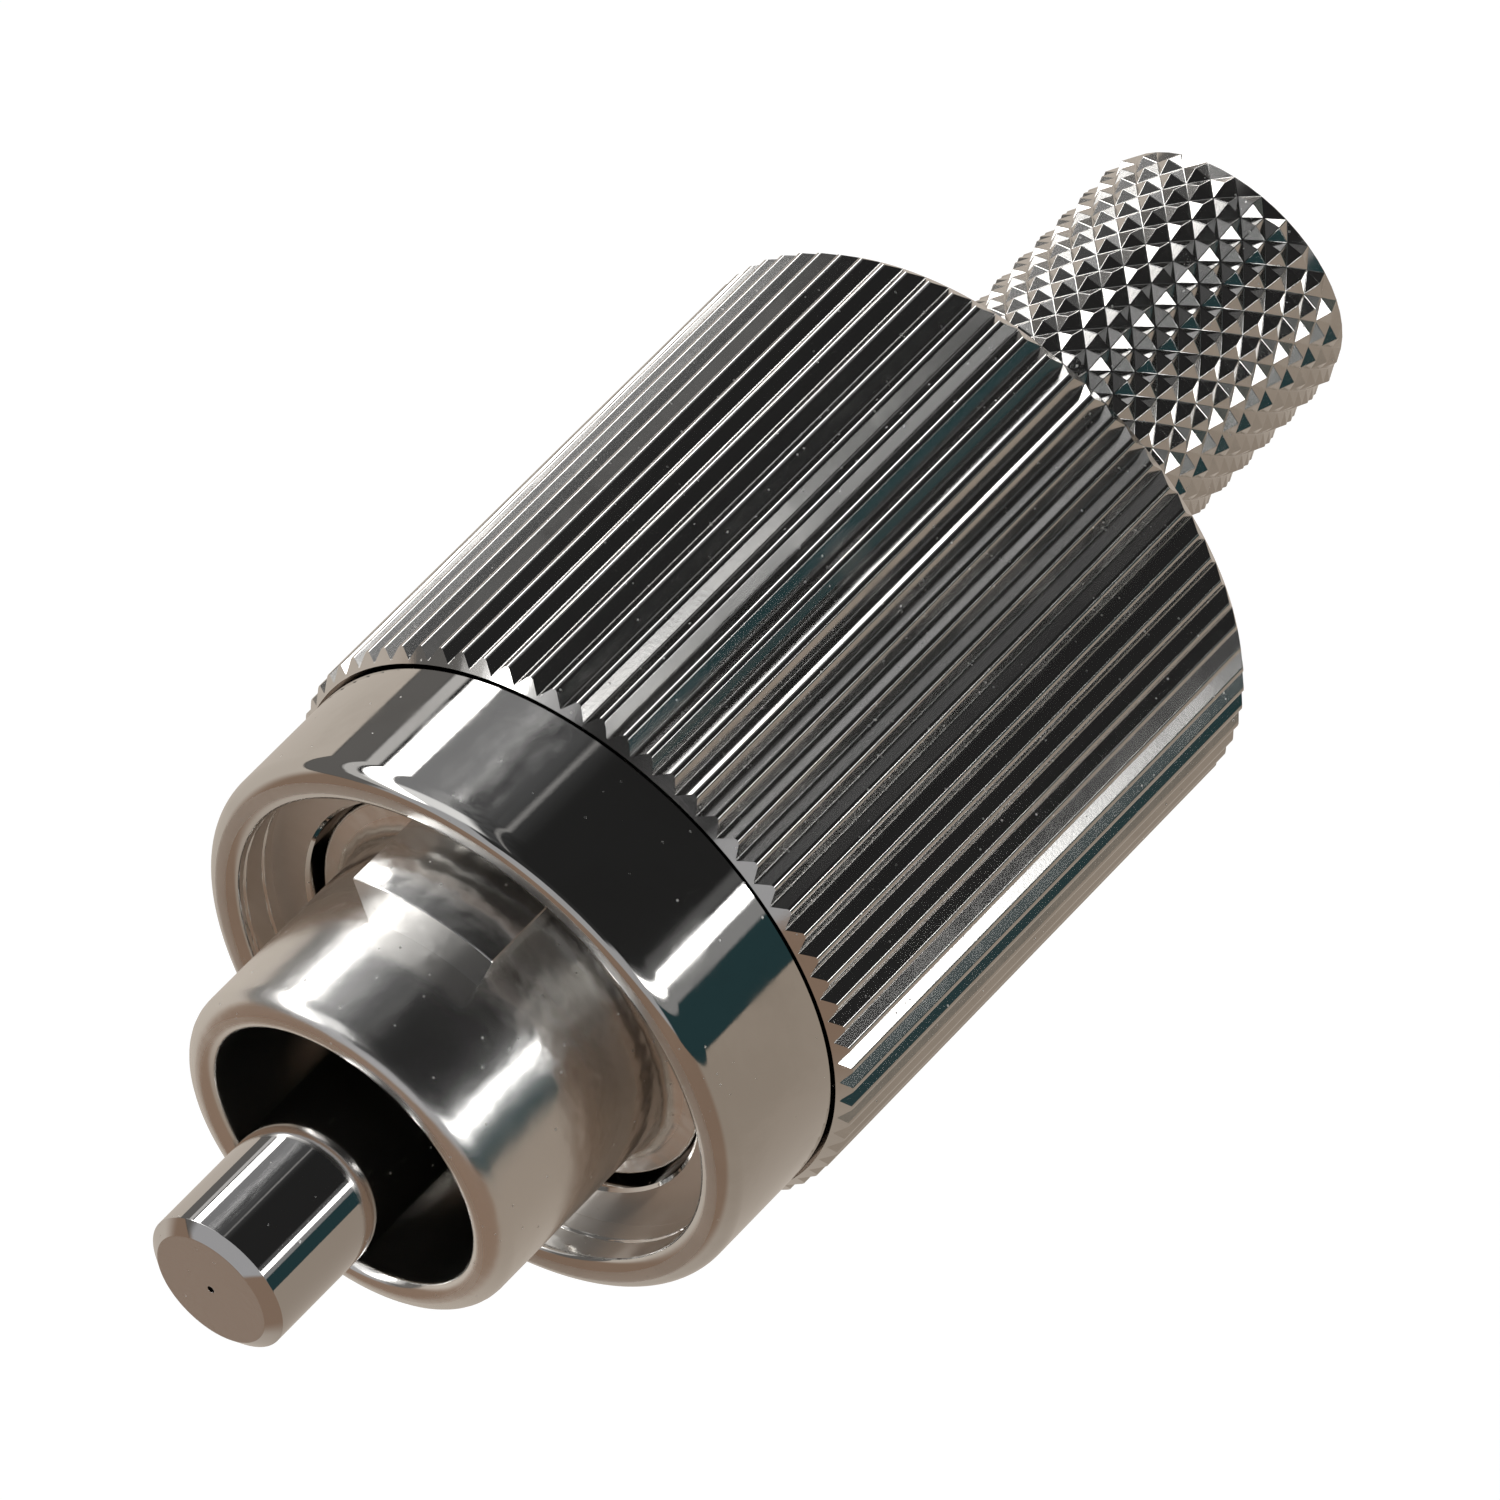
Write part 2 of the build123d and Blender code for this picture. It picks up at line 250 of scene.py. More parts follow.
class Nodes:
    """Short way to place nodes in a tree and join their sockets."""

    def __init__(self, tree):
        self.tree = tree

    def add(self, kind, values=None, **settings):
        """Adds a node, sets its settings, and sets or links its inputs by name or number."""
        node = self.tree.nodes.new(kind)
        for key, value in settings.items():
            setattr(node, key, value)
        for key, value in (values or {}).items():
            self.put(value, node.inputs[key])
        return node

    def put(self, value, socket):
        """Links value to a socket if it is an output, and otherwise sets it as the socket's number."""
        if isinstance(value, bpy.types.NodeSocket):
            self.tree.links.new(value, socket)
        else:
            socket.default_value = value

    def math(self, operation, first, second=0.0, clamp=False):
        """One step of arithmetic."""
        return self.add("ShaderNodeMath", {0: first, 1: second}, operation=operation, use_clamp=clamp).outputs[0]

    def ease(self, value, low_in, high_in, low_out=0.0, high_out=1.0):
        """Smooth step of value from one range to another."""
        return self.add(
            "ShaderNodeMapRange",
            {"Value": value, "From Min": low_in, "From Max": high_in, "To Min": low_out, "To Max": high_out},
            interpolation_type="SMOOTHSTEP",
        ).outputs[0]

    def blend(self, factor, first, second):
        """Mix of two colours."""
        node = self.tree.nodes.new("ShaderNodeMix")
        node.data_type = "RGBA"
        colours = [socket for socket in node.inputs if socket.type == "RGBA"]
        self.put(factor, node.inputs["Factor"])
        self.put(first, colours[0])
        self.put(second, colours[1])
        return [socket for socket in node.outputs if socket.type == "RGBA"][0]

    def noise(self, vector, scale, detail, roughness=0.5, distortion=0.0):
        """Layered noise."""
        values = {"Vector": vector, "Scale": scale, "Detail": detail, "Roughness": roughness}
        return self.add("ShaderNodeTexNoise", {**values, "Distortion": distortion}).outputs[0]

    def group(self, name, values):
        """Places one of the shared node groups, which have one output each."""
        return self.add("ShaderNodeGroup", values, node_tree=bpy.data.node_groups[name]).outputs[0]

    def radius(self, parts):
        """Distance from the connector's axis: the root of x squared plus z squared."""
        squares = [self.math("MULTIPLY", part, part) for part in (parts[0], parts[2])]
        return self.math("SQRT", self.math("ADD", *squares))

    def bump(self, height, distance, normal=None):
        """Normal of a height over a distance in metres, on top of another bump's normal if one is given."""
        values = {"Height": height, "Distance": distance, "Strength": 1.0}
        if normal is not None:
            values["Normal"] = normal
        return self.add("ShaderNodeBump", values).outputs[0]


def fresh_material(name):
    """An empty material, in place of an older one of its name, with its nodes."""
    drop(bpy.data.materials, name)
    material = bpy.data.materials.new(name)
    material.use_nodes = True
    material.node_tree.nodes.clear()
    return material, Nodes(material.node_tree)


def new_group(name, inputs, outputs):
    """An empty shader node group with named number inputs and outputs."""
    drop(bpy.data.node_groups, name)
    tree = bpy.data.node_groups.new(name, "ShaderNodeTree")
    for label, value in inputs.items():
        kind = "NodeSocketVector" if value is None else "NodeSocketFloat"
        socket = tree.interface.new_socket(label, in_out="INPUT", socket_type=kind)
        if value is not None:
            socket.default_value = value
    for label in outputs:
        tree.interface.new_socket(label, in_out="OUTPUT", socket_type="NodeSocketFloat")
    nodes = Nodes(tree)
    return tree, nodes, nodes.add("NodeGroupInput").outputs, nodes.add("NodeGroupOutput").inputs


def smudge_group():
    """Cloudy patches left by handling. Mask is layered noise, eased about a threshold."""
    tree, nodes, given, out = new_group(
        "Soft Smudges", {"Vector": None, "Scale": 400.0, "Threshold": 0.55, "Softness": 0.12}, ["Mask"]
    )
    cloud = nodes.noise(given["Vector"], given["Scale"], 5.0, 0.6, 0.6)
    first = nodes.math("SUBTRACT", given["Threshold"], given["Softness"])
    last = nodes.math("ADD", given["Threshold"], given["Softness"])
    nodes.put(nodes.ease(cloud, first, last), out["Mask"])
    return tree


def speck_group():
    """Dust specks. Mask is 1 inside small cells whose own random number is under the share."""
    tree, nodes, given, out = new_group(
        "Dust Specks", {"Vector": None, "Scale": 4000.0, "Share": 0.04, "Size": 0.28}, ["Mask"]
    )
    cells = nodes.add("ShaderNodeTexVoronoi", {"Vector": given["Vector"], "Scale": given["Scale"]})
    chance = nodes.add("ShaderNodeSeparateColor", {0: cells.outputs["Color"]}).outputs[0]
    chosen = nodes.math("LESS_THAN", chance, given["Share"])
    inside = nodes.math("LESS_THAN", cells.outputs["Distance"], given["Size"])
    nodes.put(nodes.math("MULTIPLY", chosen, inside), out["Mask"])
    return tree


def turning_group():
    """Fine marks left by turning. Height is noise over radius and station, nearly constant round the axis."""
    tree, nodes, given, out = new_group(
        "Turning Marks", {"Vector": None, "Scale": 9000.0, "Wander": 0.02}, ["Height"]
    )
    parts = nodes.add("ShaderNodeSeparateXYZ", {0: given["Vector"]}).outputs
    drift = nodes.math("MULTIPLY", nodes.math("ADD", parts[0], parts[2]), given["Wander"])
    place = nodes.add("ShaderNodeCombineXYZ", {0: nodes.radius(parts), 1: parts[1], 2: drift}).outputs[0]
    nodes.put(nodes.noise(place, given["Scale"], 3.0, 0.6), out["Height"])
    return tree


def grain_group():
    """Fine plated grain. Height is two scales of noise added together."""
    tree, nodes, given, out = new_group(
        "Plated Grain", {"Vector": None, "Scale": 9000.0, "Waviness": 0.3}, ["Height"]
    )
    fine = nodes.noise(given["Vector"], given["Scale"], 4.0, 0.65)
    coarse = nodes.noise(given["Vector"], nodes.math("MULTIPLY", given["Scale"], 0.12), 1.0)
    nodes.put(nodes.math("ADD", fine, nodes.math("MULTIPLY", coarse, given["Waviness"])), out["Height"])
    return tree


def dent_group():
    """Shallow dents left by barrel plating. Height is one broad noise."""
    tree, nodes, given, out = new_group("Shallow Dents", {"Vector": None, "Scale": 2200.0}, ["Height"])
    nodes.put(nodes.noise(given["Vector"], given["Scale"], 1.5), out["Height"])
    return tree


def plated(name, base, roughness, smudged=0.06, grain=0.0000006, grain_scale=9000.0, turning=0.0,
           speck_share=0.03, speck_scale=3500.0, smudge_scale=450.0, cloud=0.25, softness=0.12, dents=0.0,
           dented_from=0.0, faced_roughness=0.2, faced_grain=3.0, flank_roughness=0.0, bore=0.0):
    """Metal finish: a plated base with smudges, dust specks, grain, dents and turning marks.

    Each effect comes from its own group. Scales are per metre, depths, the bore radius and stations in metres.
    Inside the bore radius the surface is smooth. Dents reach their full depth behind the dented_from station.
    """
    material, nodes = fresh_material(name)
    place = nodes.add("ShaderNodeTexCoord").outputs["Object"]
    parts = nodes.add("ShaderNodeSeparateXYZ", {0: place}).outputs
    faced = nodes.add("ShaderNodeAttribute", None, attribute_name="faced").outputs["Fac"]
    smudge = nodes.group("Soft Smudges", {"Vector": place, "Scale": smudge_scale, "Softness": softness})
    speck = nodes.group("Dust Specks", {"Vector": place, "Scale": speck_scale, "Share": speck_share})
    plate_grain = nodes.group("Plated Grain", {"Vector": place, "Scale": grain_scale})
    shade = nodes.blend(nodes.math("MULTIPLY", smudge, cloud), (*base, 1.0), DULL)
    shade = nodes.blend(nodes.math("MULTIPLY", speck, SPECK_COVER), shade, SPECK_COLOUR)
    rough = nodes.math("ADD", nodes.math("MULTIPLY", smudge, smudged), roughness)
    rough = nodes.math("ADD", rough, nodes.math("MULTIPLY", speck, SPECK_ROUGHNESS))
    rough = nodes.math("ADD", rough, nodes.math("MULTIPLY", faced, faced_roughness))
    if flank_roughness:
        flank = nodes.add("ShaderNodeAttribute", None, attribute_name="flank").outputs["Fac"]
        rough = nodes.math("ADD", rough, nodes.math("MULTIPLY", flank, flank_roughness))
    outside = 1.0
    if bore:
        outside = nodes.ease(nodes.radius(parts), bore, bore + BORE_FADE)
        inner = nodes.math("MULTIPLY", nodes.math("SUBTRACT", 1.0, outside), BORE_ROUGHNESS)
        rough = nodes.math("ADD", nodes.math("MULTIPLY", rough, outside), inner)
    coarser = nodes.math("ADD", nodes.math("MULTIPLY", faced, faced_grain), 1.0)
    normal = nodes.bump(nodes.math("MULTIPLY", plate_grain, coarser), grain)
    if dents:
        hollow = nodes.group("Shallow Dents", {"Vector": place})
        deep = nodes.ease(parts[1], dented_from, dented_from + DENT_FADE, LEAST_DENT, 1.0)
        deep = nodes.math("MULTIPLY", nodes.math("MULTIPLY", hollow, deep), outside)
        normal = nodes.bump(deep, dents, normal)
    if turning:
        normal = nodes.bump(nodes.group("Turning Marks", {"Vector": place}), turning, normal)
    shader = nodes.add(
        "ShaderNodeBsdfPrincipled", {"Base Color": shade, "Metallic": 1.0, "Roughness": rough, "Normal": normal}
    )
    nodes.add("ShaderNodeOutputMaterial", {0: shader.outputs[0]})
    return material


# ---- sizes and colours a user would change


class FerruleSettings(bpy.types.PropertyGroup):
    """The polished ferrule."""

    diameter: length("Diameter", "Diameter of the ground cylinder", 2 * high("ferrule").x)
    chamfer_radial: length("Chamfer width", "Its width across the axis", 0.22)
    chamfer_axial: length("Chamfer depth", "Its depth along the axis", 0.17)
    bore: length("Fibre bore", "Diameter of the hole for the fibre", 0.126)
    edge: length("Edge rounding", "Rounding of the chamfer's two edges", 0.012)
    shoulder: length("Shoulder", "Station where the ground cylinder ends", 8.2)
    shank: length("Shank diameter", "Diameter of the pressed-in end", 2.0)
    funnel: length("Funnel diameter", "Diameter of the rear funnel", 0.9)
    funnel_length: length("Funnel length", "Length of the rear funnel", 0.8)


class FrameSettings(bpy.types.PropertyGroup):
    """The keyed plug frame."""

    radius: length("Plug radius", "Outer radius of the front barrel", 3.087)
    bore: length("Plug bore radius", "Inner radius of the front barrel", 2.465)
    outer_round: length("Outer rounding", "Rounding of the front's outer edge", 0.4)
    inner_round: length("Inner rounding", "Rounding of the front's inner edge", 0.2)
    key_height: length("Key height", "Height of the key over the barrel", 0.843)
    key_half_angle: bpy.props.FloatProperty(
        name="Key half angle", description="Half of the key's sector", default=math.radians(19.8), subtype="ANGLE"
    )
    key_edge: length("Key edge", "Edge break of the key", 0.02)


class RingSettings(bpy.types.PropertyGroup):
    """The coupling ring."""

    thread_pitch: length("Thread pitch", "Pitch of the coupling thread", 0.45)
    thread_depth: length("Thread depth", "Depth of the thread's roots", 0.035)
    root_width: length("Root width", "Width of the thread's roots", 0.07)
    thread_start: length("Thread start", "Station of a root at the angle 0", 7.055)
    lip_outer_radial: length("Outer lip width", "Its rounding across the axis", 0.317)
    lip_outer_axial: length("Outer lip depth", "Its rounding along the axis", 0.36)
    lip_inner_radial: length("Inner lip width", "Its rounding across the axis", 0.245)
    lip_inner_axial: length("Inner lip depth", "Its rounding along the axis", 0.14)


class GripSettings(bpy.types.PropertyGroup):
    """The straight-knurled grip."""

    teeth: bpy.props.IntProperty(name="Teeth", description="Teeth round the grip", default=73, min=12)
    crest: length("Crest width", "Width of a tooth's crest before its edges are rounded", 0.075)
    depth: length("Tooth depth", "Depth between crest and valley", 0.161)
    crest_round: length("Crest rounding", "Rounding of a crest's edges", 0.085)
    rear_setback: length("Rear setback", "How far it ends before the construction's rear face", 0.28)
    rear_bevel_radial: length("Rear bevel width", "Its width across the axis", 0.186)
    rear_bevel_axial: length("Rear bevel depth", "Its depth along the axis", 0.2)
    valley_round: length("Valley rounding", "Rounding of the valleys", 0.02)


class BarrelSettings(bpy.types.PropertyGroup):
    """The diamond-knurled crimp barrel."""

    starts: bpy.props.IntProperty(name="Starts", description="Diamonds in one row", default=27, min=8)
    rows: bpy.props.IntProperty(name="Rows", description="Half pitches along the barrel", default=26, min=4)
    depth: length("Knurl depth", "Depth of the crossed grooves", 0.12)
    pitch: length("Row pitch", "Distance between two rows of diamonds", 0.567)
    edge: length("Edge break", "Rounding of the diamonds' ridges and grooves", 0.009)


class SpringSettings(bpy.types.PropertyGroup):
    """The compression spring."""

    wire: length("Wire", "Diameter of the wire", 0.4)
    coils: bpy.props.FloatProperty(name="Coils", description="Turns of the wire", default=5.5, min=1.0)


class FinishSettings(bpy.types.PropertyGroup):
    """Colours of the finishes."""

    plate: colour("Nickel plate", "Colour of the plated pieces", (0.74, 0.73, 0.71))
    satin: colour("Satin plate", "Colour of the plug frame", (0.86, 0.85, 0.83))
    ground: colour("Ground end", "Colour of the ferrule", (0.74, 0.73, 0.72))
    spring: colour("Spring steel", "Colour of the spring, clip and washer", (0.6, 0.59, 0.57))
    guide: colour("Guide tube", "Colour of the plastic tube", (0.9, 0.9, 0.88))


class StudioSettings(bpy.types.PropertyGroup):
    """Camera, floor and light."""

    camera_place: bpy.props.FloatVectorProperty(
        name="Camera place", description="Where the camera stands", default=(0.09787, -0.11411, 0.19584),
        subtype="TRANSLATION", unit="LENGTH", precision=5
    )
    camera_aim: bpy.props.FloatVectorProperty(
        name="Camera aim", description="Direction in which the camera looks",
        default=(-0.38632545, 0.50270445, -0.77333103), subtype="DIRECTION", precision=8
    )
    lens: bpy.props.FloatProperty(name="Lens", description="Focal length in millimetres", default=395.52, min=10.0)
    floor_depth: length("Floor depth", "How far the floor lies under the axis", 55.0)
    wall_radius: length("Wall radius", "Distance of the studio's walls from the axis", 180.0)
    lamp_power: bpy.props.FloatProperty(name="Lamp power", description="Power of the soft lamp in watts", default=1.0)


# ---- the pieces


class CONNECTOR_OT_ferrule(bpy.types.Operator):
    """Makes the polished ferrule"""

    bl_idname = "connector.ferrule"
    bl_label = "Make the ferrule"

    def execute(self, context):
        s = context.scene.connector_ferrule
        r, bore, end = s.diameter / MM / 2, s.bore / MM / 2, high("ferrule").y
        shoulder, edge, shank = s.shoulder / MM, s.edge / MM, s.shank / MM / 2
        bore_edge, rear_edge = 0.003, 0.02
        # Two plain points near the end face's edges keep its shading flat.
        face = r - s.chamfer_radial / MM
        points = [
            (bore, 0), (bore + 0.02, 0), (face - 0.03, 0), (face, 0), (r, s.chamfer_axial / MM), (r, shoulder),
            (shank, shoulder), (shank, end), (s.funnel / MM / 2, end), (bore, end - s.funnel_length / MM),
        ]
        section = rounded(points, [bore_edge, 0.0, 0.0, edge, edge, rear_edge, 0.0, rear_edge, 0.0, 0.0])
        material = plated(
            "ground_ferrule", context.scene.connector_finish.ground, 0.035, smudged=0.02, grain=0.0000002,
            speck_share=0.012, speck_scale=12000.0, cloud=0.1, softness=0.3, faced_grain=8.0
        )
        new_piece("ferrule_surface", turned(section, 192), "ferrule_set", ["ferrule"], material)
        return {"FINISHED"}


class CONNECTOR_OT_frame(bpy.types.Operator):
    """Makes the plug frame with its key"""

    bl_idname = "connector.frame"
    bl_label = "Make the plug frame"

    def execute(self, context):
        s = context.scene.connector_frame
        front, rear = low("plug_frame").y, high("plug_frame").y
        r, bore = s.radius / MM, s.bore / MM
        flange, flange_front, flange_rear = 3.635, 7.27, 8.05
        tube, groove, groove_front, groove_rear = 2.9, 2.65, 11.35, 11.85
        chamber, chamber_front, passage, passage_front = 2.3, 9.0, 1.45, 8.3
        points = [
            (bore, front), (r, front), (r, flange_front), (flange, flange_front), (flange, flange_rear),
            (tube, flange_rear), (tube, groove_front), (groove, groove_front), (groove, groove_rear),
            (tube, groove_rear), (tube, rear), (chamber, rear), (chamber, chamber_front),
            (passage, chamber_front), (passage, passage_front), (bore, passage_front),
        ]
        barrel_foot, flange_edge, tube_foot, other_edge = 0.3, 0.06, 0.05, 0.03
        sizes = [s.inner_round / MM, s.outer_round / MM, barrel_foot, flange_edge, flange_edge, tube_foot]
        sizes += [other_edge] * (len(points) - len(sizes))
        section = outward(rounded(points, sizes, steps=8))
        # The barrel's straight side gets the key's rows: at each end a step, then the edge break.
        key_start, key_end, edge = 5.2, 6.95, s.key_edge / MM
        height, key_columns, rest_columns = s.key_height / MM, 34, 258
        side = np.where(np.isclose(section[:, 0], r, atol=1e-6) & (section[:, 1] < key_start))[0].max()
        key_rows = np.array(
            [[key_start, 0.0], [key_start, height - edge], [key_start + edge, height],
             [key_end - edge, height], [key_end, height - edge], [key_end, 0.0]]
        )
        places = [side + 1] * len(key_rows)
        barrel_rows = np.column_stack([np.full(len(key_rows), r), key_rows[:, 0]])
        rows = np.insert(section, places, barrel_rows, axis=0)
        row_height = np.insert(np.zeros(len(section)), places, key_rows[:, 1])
        half, turn = s.key_half_angle, edge / (r + height)
        key_angles = math.pi / 2 + np.concatenate([
            [-half, -half, -half + turn], np.linspace(-half + turn, half - turn, key_columns)[1:-1],
            [half - turn, half, half]
        ])
        key_heights = np.concatenate([[0, height - edge], np.full(key_columns, height), [height - edge, 0]])
        rest = np.linspace(math.pi / 2 + half, math.pi * 2.5 - half, rest_columns)[1:-1]
        angles = np.concatenate([key_angles, rest])
        column_height = np.concatenate([key_heights, np.zeros(len(rest))])
        radii = rows[:, :1] + np.minimum(row_height[:, None], column_height[None, :])
        material = plated(
            "satin_frame", context.scene.connector_finish.satin, 0.2, smudged=0.05, grain=0.000001,
            grain_scale=5000.0, speck_share=0.02, speck_scale=12000.0, smudge_scale=900.0, dents=0.000026,
            cloud=0.06, softness=0.3, bore=0.00252, dented_from=0.0048, faced_roughness=0.08
        )
        new_piece(
            "plug_frame_surface", skin(radii, rows[:, 1:], angles[None, :]), "shell", ["plug_frame"],
            material
        )
        return {"FINISHED"}


class CONNECTOR_OT_ring(bpy.types.Operator):
    """Makes the smooth coupling ring with the thread in its mouth"""

    bl_idname = "connector.ring"
    bl_label = "Make the coupling ring"

    def execute(self, context):
        s = context.scene.connector_ring
        front, rear, r = low("coupling_ring").y, high("coupling_ring").y, high("coupling_ring").x
        shoulder, mouth, recess, recess_edge = 7.04, 4.455, 3.75, 0.05
        chamber, web_bore, web_front, web_rear, spigot_edge = 3.6, 2.95, 8.39, 9.19, 0.25
        lip_rows, wall_rows, columns = 17, 72, 288
        arc = np.linspace(-math.pi / 2, 0, lip_rows)
        wide, deep = s.lip_outer_radial / MM, s.lip_outer_axial / MM
        outer_lip = np.column_stack([r - wide + wide * np.cos(arc), front + deep + deep * np.sin(arc)])
        wide, deep, arc = s.lip_inner_radial / MM, s.lip_inner_axial / MM, arc[::-1]
        inner_lip = np.column_stack([mouth + wide - wide * np.cos(arc), front + deep + deep * np.sin(arc)])
        body = [
            (r, SPIGOT_FRONT), (SPIGOT_RADIUS, SPIGOT_FRONT), (SPIGOT_RADIUS, rear - spigot_edge),
            (SPIGOT_RADIUS - spigot_edge, rear), (chamber, rear), (chamber, web_rear), (web_bore, web_rear),
            (web_bore, web_front), (recess, web_front), (recess, shoulder + recess_edge),
            (recess + recess_edge, shoulder), (mouth, shoulder),
        ]
        wall = np.linspace(shoulder, front + deep, wall_rows)[1:-1]
        outer = np.concatenate([outer_lip, body])
        section = np.concatenate([outer, np.column_stack([np.full(len(wall), mouth), wall]), inner_lip])
        threaded = np.concatenate([np.zeros(len(outer)), np.ones(len(wall)), np.zeros(len(inner_lip))])
        angles = np.linspace(0, 2 * math.pi, columns, endpoint=False)[None, :]
        # A right-hand thread's root moves to the front as the angle grows.
        turns = (section[:, 1:] - s.thread_start / MM) / (s.thread_pitch / MM) + angles / (2 * math.pi)
        from_root = np.abs(turns - np.round(turns)) * s.thread_pitch / MM
        groove = np.clip(1 - from_root / (s.root_width / MM / 2), 0, 1)
        radii = section[:, :1] + threaded[:, None] * s.thread_depth / MM * groove
        material = plated(
            "polished_ring", context.scene.connector_finish.plate, 0.03, smudged=0.06, grain=0.00000025,
            speck_share=0.012, speck_scale=12000.0, turning=0.00000005, faced_roughness=0.35, faced_grain=6.0
        )
        new_piece(
            "coupling_ring_surface", skin(radii, section[:, 1:], angles), "nut", ["coupling_ring"],
            material
        )
        return {"FINISHED"}


class CONNECTOR_OT_grip(bpy.types.Operator):
    """Makes the straight-knurled grip sleeve"""

    bl_idname = "connector.grip"
    bl_label = "Make the grip sleeve"

    def execute(self, context):
        s = context.scene.connector_grip
        front, rear = low("grip_sleeve").y, high("grip_sleeve").y - s.rear_setback / MM
        # One crest lies on +X, so the box ends at that crest's two edges.
        half_crest = s.crest / MM / 2 / high("grip_sleeve").x
        tip = high("grip_sleeve").x / math.cos(half_crest)
        root, pitch = tip - s.depth / MM, 2 * math.pi / s.teeth
        middles = np.arange(s.teeth)[:, None] * pitch
        corner_angles = (middles + np.array([[-half_crest, half_crest, pitch / 2]])).ravel()
        corner_radii = np.tile([tip, tip, root], s.teeth)
        corners = np.column_stack([corner_radii * np.cos(corner_angles), corner_radii * np.sin(corner_angles)])
        sizes = np.tile([s.crest_round / MM, s.crest_round / MM, s.valley_round / MM], s.teeth)
        outline = rounded(corners, sizes, steps=6)
        angles = np.arctan2(outline[:, 1], outline[:, 0])[None, :]
        edge = np.hypot(outline[:, 0], outline[:, 1])[None, :]
        bevel_radial, bevel_axial = s.rear_bevel_radial / MM, s.rear_bevel_axial / MM
        mouth, mouth_chamfer, rear_edge = 5.137, 0.2, tip - bevel_radial
        rear_bore, throat, throat_edge, pocket_end = 3.6, 3.4, 0.2, 13.38
        front_station = front + mouth_chamfer * (edge - mouth) / (tip - mouth)
        rear_station = rear - bevel_axial * (edge - rear_edge) / bevel_radial
        plain = np.array([
            (rear_edge, rear), (rear_bore, rear), (throat, rear - throat_edge), (throat, pocket_end),
            (SPIGOT_RADIUS, pocket_end), (SPIGOT_RADIUS, SPIGOT_FRONT), (mouth, SPIGOT_FRONT),
        ])
        ones = np.ones_like(edge)
        radii = np.concatenate([mouth * ones, edge, edge, plain[:, :1] * ones])
        stations = np.concatenate([front * ones, front_station, rear_station, plain[:, 1:] * ones])
        material = plated(
            "knurled_grip", context.scene.connector_finish.plate, 0.08, smudged=0.06, grain=0.0000004,
            grain_scale=14000.0, speck_share=0.02, speck_scale=14000.0, flank_roughness=0.05
        )
        new_piece(
            "grip_sleeve_surface", skin(radii, stations, angles), "nut", ["grip_sleeve"], material
        )
        return {"FINISHED"}


class CONNECTOR_OT_barrel(bpy.types.Operator):
    """Makes the rear body with the diamond-knurled crimp barrel"""

    bl_idname = "connector.barrel"
    bl_label = "Make the crimp barrel"

    def execute(self, context):
        s = context.scene.connector_barrel
        tip, columns, rows = 2.42, 2 * s.starts, s.rows
        end = high("rear_body").y
        start = end - rows / 2 * s.pitch / MM
        root = tip - s.depth / MM
        cable_bore, bore_mouth, mouth_depth, overlap = 1.5, 1.65, 0.15, 0.1
        nose, nose_bore, nose_front, collar_radius, collar_front = 2.3, 1.06, 15.0, 2.9, 17.0
        bore_front = 16.9
        row, column = np.meshgrid(np.arange(rows + 1), np.arange(columns), indexing="ij")
        pointed = ((row + column) % 2 == 0) & (row > 0) & (row < rows)
        radius = np.where(pointed, tip, root)
        angle = 2 * math.pi * column / columns
        station = start + (end - start) * row / rows
        knurl = np.stack([radius * np.cos(angle), station, radius * np.sin(angle)], axis=-1).reshape(-1, 3)
        index = row * columns + column
        here, up = index[:-1], index[1:]
        right, up_right = np.roll(here, -1, axis=1), np.roll(up, -1, axis=1)
        even = ((row + column)[:-1] % 2 == 0)[..., None]
        first = np.where(even, np.stack([here, up, right], -1), np.stack([here, up, up_right], -1))
        second = np.where(even, np.stack([right, up, up_right], -1), np.stack([here, up_right, right], -1))
        triangles = np.concatenate([first.reshape(-1, 3), second.reshape(-1, 3)]).tolist()
        # The bore has five sides to each half diamond, so that it reads as round.
        splits = 5
        fine = columns * splits
        fine_angle = 2 * math.pi * np.arange(fine) / fine
        bore_rows = np.array([
            (bore_mouth, end), (cable_bore, end - mouth_depth), (cable_bore, start - overlap), (root, start - overlap)
        ])
        wide, level = bore_rows[:, :1], bore_rows[:, 1:] * np.ones(fine)
        bore = np.stack([wide * np.cos(fine_angle), level, wide * np.sin(fine_angle)], axis=-1).reshape(-1, 3)
        ring = len(knurl) + np.arange(len(bore)).reshape(len(bore_rows), fine)
        quads = np.stack([ring[:-1], ring[1:], np.roll(ring[1:], -1, axis=1), np.roll(ring[:-1], -1, axis=1)], -1)
        # Each half diamond's end face joins its own edge to the bore's sides under it.
        sector = np.arange(columns)
        under, neighbour = (splits * sector[:, None] + np.arange(splits + 1)) % fine, (sector + 1) % columns
        rear_face = np.column_stack([index[-1], ring[0][under], index[-1][neighbour]]).tolist()
        front_face = np.column_stack([ring[-1][under], index[0][neighbour], index[0]]).tolist()
        faces = triangles + quads.reshape(-1, 4).tolist() + rear_face + front_face
        barrel = (np.concatenate([knurl, bore]) * MM, faces)
        collar = turned([
            (nose_bore, nose_front), (nose, nose_front), (nose, collar_front), (collar_radius, collar_front),
            (collar_radius, start), (cable_bore, start), (cable_bore, bore_front), (nose_bore, bore_front)
        ], 192)
        material = plated(
            "crimp_barrel_plate", context.scene.connector_finish.plate, 0.12, smudged=0.06, grain=0.0000004,
            grain_scale=12000.0, speck_share=0.02, speck_scale=14000.0
        )
        new_piece(
            "crimp_barrel_surface", joined(barrel, collar), "shell", ["rear_body"], material,
            bevel=s.edge
        )
        return {"FINISHED"}


